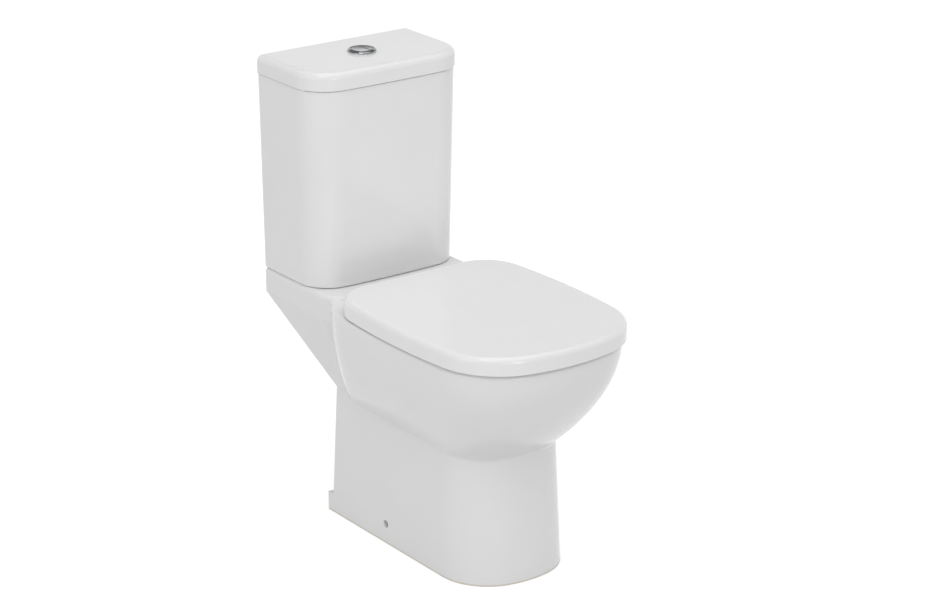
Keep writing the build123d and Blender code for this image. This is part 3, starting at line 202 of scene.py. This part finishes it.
chrome_shader = add_node(chrome, "BsdfPrincipled", {"Base Color": srgb("#AFB1B2"),
                                                    "Metallic": 1.0,
                                                    "Roughness": chrome_roughness.outputs[0],
                                                    "Normal": dish_bump.outputs[0]})
add_node(chrome, "OutputMaterial", {"Surface": chrome_shader.outputs[0]})

# Stainless steel, drawn and turned: rings round the pins and studs, drawn wider apart than the
# tool leaves them, so that they show, and a soft grey shine.
stainless = new_material("turned_stainless_steel")
on_piece = add_node(stainless, "TexCoord").outputs["Object"]
turning = add_node(stainless, "Mapping", {"Vector": on_piece,
                                          "Scale": (1 / (8 * MM), 1 / (8 * MM), 1 / (0.7 * MM))})
tool_rings = add_node(stainless, "TexNoise", {"Vector": turning.outputs[0], "Scale": 1.0,
                                              "Detail": 3.0})
steel_roughness = add_node(stainless, "MapRange", {"Value": tool_rings.outputs[0],
                                                   "From Min": 0.3, "From Max": 0.7,
                                                   "To Min": 0.22, "To Max": 0.38})
ring_bump = add_node(stainless, "Bump", {"Height": tool_rings.outputs[0], "Distance": 0.02 * MM,
                                         "Strength": 0.6})
steel_shader = add_node(stainless, "BsdfPrincipled", {"Base Color": srgb("#B4B4B6"),
                                                      "Metallic": 1.0,
                                                      "Roughness": steel_roughness.outputs[0],
                                                      "Normal": ring_bump.outputs[0]})
add_node(stainless, "OutputMaterial", {"Surface": steel_shader.outputs[0]})

# Brass, forged and left bare: dull gold that has browned in patches in the damp.
brass = new_material("forged_brass")
on_piece = add_node(brass, "TexCoord").outputs["Object"]
tarnish_cloud = add_node(brass, "TexNoise", {"Vector": on_piece, "Scale": 1 / (7 * MM),
                                             "Detail": 4.0})
tarnish = add_node(brass, "MapRange", {"Value": tarnish_cloud.outputs[0], "From Min": 0.4,
                                       "From Max": 0.7})
brass_tone = add_node(brass, "Mix", {"Factor": tarnish.outputs[0], "A": srgb("#D8B56A"),
                                     "B": srgb("#9C7A45")}, data_type="RGBA")
brass_roughness = add_node(brass, "MapRange", {"Value": tarnish.outputs[0], "To Min": 0.28,
                                               "To Max": 0.55})
forging_bump = add_node(brass, "Bump", {"Height": tarnish_cloud.outputs[0], "Distance": 0.05 * MM,
                                        "Strength": 0.5})
brass_shader = add_node(brass, "BsdfPrincipled", {"Base Color": brass_tone.outputs["Result"],
                                                  "Metallic": 1.0,
                                                  "Roughness": brass_roughness.outputs[0],
                                                  "Normal": forging_bump.outputs[0]})
add_node(brass, "OutputMaterial", {"Surface": brass_shader.outputs[0]})

finishes = {
    "glazed_china": china,
    "seat_plastic": thermoset,
    "chromed": chrome,
    "white_plastic": valve_white,
    "tinted_plastic": valve_blue,
    "seal_rubber": rubber,
    "buffer_rubber": buffer_soft,
    "stainless": stainless,
    "brassware": brass,
}
for subpart in frame["record"]["subparts"]:
    piece = frame["nodes"][subpart["node"]]
    piece.data.materials.clear()
    piece.data.materials.append(finishes[subpart["material_slot"]])

# ------------------------------------------------------------------ button springs

wire_radius = 0.45 * MM
wire_sides = 12
spring_turns = 7
steps_per_turn = 24
hard_edge = math.radians(40)
end_clearance = 0.05 * MM

# one spring is wound about the origin, with the middle of its lowest wire at height zero
coil_low, coil_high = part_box("full_flush_spring")
coil_radius = (coil_high.x - coil_low.x) / 2 - wire_radius
lowest_wire = wire_radius + end_clearance
climb = coil_high.z - coil_low.z - 2 * lowest_wire
bpy.ops.object.select_all(action="DESELECT")
bpy.ops.mesh.primitive_circle_add(vertices=wire_sides, radius=wire_radius,
                                  location=(coil_radius, 0, 0), rotation=(math.pi / 2, 0, 0))
full_spring = bpy.context.object
bpy.ops.object.transform_apply(location=True, rotation=True, scale=True)
winding = full_spring.modifiers.new("winding", "SCREW")
winding.screw_offset = climb / spring_turns
winding.iterations = spring_turns
winding.steps = winding.render_steps = steps_per_turn
bpy.ops.object.modifier_apply(modifier=winding.name)

# the wire's two open ends are closed
bpy.ops.object.mode_set(mode="EDIT")
bpy.ops.mesh.select_mode(type="EDGE")
bpy.ops.mesh.select_all(action="DESELECT")
bpy.ops.mesh.select_non_manifold()
bpy.ops.mesh.edge_face_add()
bpy.ops.mesh.select_all(action="SELECT")
bpy.ops.mesh.normals_make_consistent(inside=False)
bpy.ops.object.mode_set(mode="OBJECT")
bpy.ops.object.shade_smooth_by_angle(angle=hard_edge)
full_spring.data.materials.append(stainless)

half_spring = full_spring.copy()
half_spring.data = full_spring.data.copy()
bpy.context.collection.objects.link(half_spring)

# each spring stands between the bezel's web and its button, and rides with the lid
for spring, button in ((full_spring, "full_flush"), (half_spring, "half_flush")):
    node = button + "_spring"
    low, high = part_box(node)
    middle_x, middle_y = (low.x + high.x) / 2, (low.y + high.y) / 2
    spring.name = node + "_wound"
    spring.location = (middle_x, middle_y, low.z + lowest_wire)
    bpy.ops.object.select_all(action="DESELECT")
    spring.select_set(True)
    bpy.context.view_layer.objects.active = spring
    bpy.ops.object.transform_apply(location=True, rotation=False, scale=False)
    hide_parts(node)
    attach(spring, "lid")
    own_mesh(spring)

# ------------------------------------------------------------------ floor

floor_width = 60
floor_gap = 0.5 * MM
# 1 is the backdrop's white
floor_lift = 0.60

bpy.ops.object.select_all(action="DESELECT")
bpy.ops.mesh.primitive_plane_add(size=floor_width, location=(0, 0, -floor_gap))
floor = bpy.context.object
floor.name = "studio_floor"
paper = new_material("matt_studio_paper")
seen_by = add_node(paper, "LightPath")
seen_or_mirrored = add_node(paper, "Math", {0: seen_by.outputs["Is Camera Ray"],
                                            1: seen_by.outputs["Is Glossy Ray"]},
                            operation="MAXIMUM")
lift_level = add_node(paper, "Math", {0: seen_or_mirrored.outputs[0], 1: floor_lift},
                      operation="MULTIPLY")
paper_face = add_node(paper, "BsdfDiffuse", {"Color": srgb("#D3D3D3")})
paper_lift = add_node(paper, "Emission", {"Color": srgb("#FFFFFF"),
                                          "Strength": lift_level.outputs[0]})
paper_shader = add_node(paper, "AddShader", {0: paper_face.outputs[0], 1: paper_lift.outputs[0]})
add_node(paper, "OutputMaterial", {"Surface": paper_shader.outputs[0]})
floor.data.materials.append(paper)

# ------------------------------------------------------------------ room

# The room is white where it is seen, mirrored or looked through, and lights the object less than
# that. What shines mirrors a backdrop that darkens from just above eye level to the ceiling.
room_light = 0.60
room_white = 1.0
darkening_starts = 0.10
darkening_ends = 0.48
ceiling_darkness = 0.75

world = bpy.data.worlds.new("soft_studio")
bpy.context.scene.world = world
world.use_nodes = True
world.node_tree.nodes.clear()
ray = add_node(world, "LightPath")
seen_or_mirrored = add_node(world, "Math", {0: ray.outputs["Is Camera Ray"],
                                            1: ray.outputs["Is Glossy Ray"]}, operation="MAXIMUM")
shown = add_node(world, "Math", {0: seen_or_mirrored.outputs[0],
                                 1: ray.outputs["Is Transmission Ray"]}, operation="MAXIMUM")
room_level = add_node(world, "MapRange", {"Value": shown.outputs[0], "To Min": room_light,
                                          "To Max": room_white})
sky = add_node(world, "TexCoord")
sky_height = add_node(world, "SeparateXYZ", {"Vector": sky.outputs["Generated"]})
ceiling_loss = add_node(world, "MapRange", {"Value": sky_height.outputs["Z"],
                                            "From Min": darkening_starts,
                                            "From Max": darkening_ends, "To Min": 0.0,
                                            "To Max": ceiling_darkness})
mirrored_loss = add_node(world, "Math", {0: ceiling_loss.outputs[0],
                                         1: ray.outputs["Is Glossy Ray"]}, operation="MULTIPLY")
room_strength = add_node(world, "Math", {0: room_level.outputs[0], 1: mirrored_loss.outputs[0]},
                         operation="SUBTRACT")
room = add_node(world, "Background", {"Color": srgb("#FFFFFF"),
                                      "Strength": room_strength.outputs[0]})
add_node(world, "OutputWorld", {"Surface": room.outputs[0]})

# ------------------------------------------------------------------ lamps and camera

# each softbox has its place in metres, the side of its square and its power in watts
lamp_aim = (0, 0, 0.4)
softboxes = {
    "overhead_softbox": ((0.3, -0.4, 3.2), 2.6, 18.5),
    "high_left_softbox": ((-1.6, -1.4, 3.2), 1.5, 16),
    "low_front_softbox": ((-0.5, -3.6, 0.4), 1.0, 13),
    "left_softbox": ((-3.6, -0.6, 1.2), 2.0, 12),
}
for name, (place, side, power) in softboxes.items():
    bpy.ops.object.light_add(type="AREA", location=place)
    lamp = bpy.context.object
    lamp.name = name
    lamp.data.shape = "SQUARE"
    lamp.data.size = side
    lamp.data.energy = power
    along, away, up = (aim - start for aim, start in zip(lamp_aim, place))
    lamp.rotation_euler = (math.atan2(math.hypot(along, away), -up), 0,
                           math.atan2(away, along) - math.pi / 2)

# the camera stands at the front left, a little above the cistern
camera_azimuth = math.radians(-36.1)
camera_elevation = math.radians(19.9)
camera_distance = 4.8673
target_x, target_y, target_z = 0.002, -0.0386, 0.4266
lens_length = 116.4
sensor_width = 36

level_distance = camera_distance * math.cos(camera_elevation)
camera_place = (target_x + level_distance * math.sin(camera_azimuth),
                target_y - level_distance * math.cos(camera_azimuth),
                target_z + camera_distance * math.sin(camera_elevation))
bpy.ops.object.camera_add(location=camera_place,
                          rotation=(math.pi / 2 - camera_elevation, 0, camera_azimuth))
camera = bpy.context.object
camera.name = "studio_camera"
camera.data.sensor_width = sensor_width
camera.data.lens = lens_length
bpy.context.scene.camera = camera
bpy.context.scene.view_settings.view_transform = "Standard"
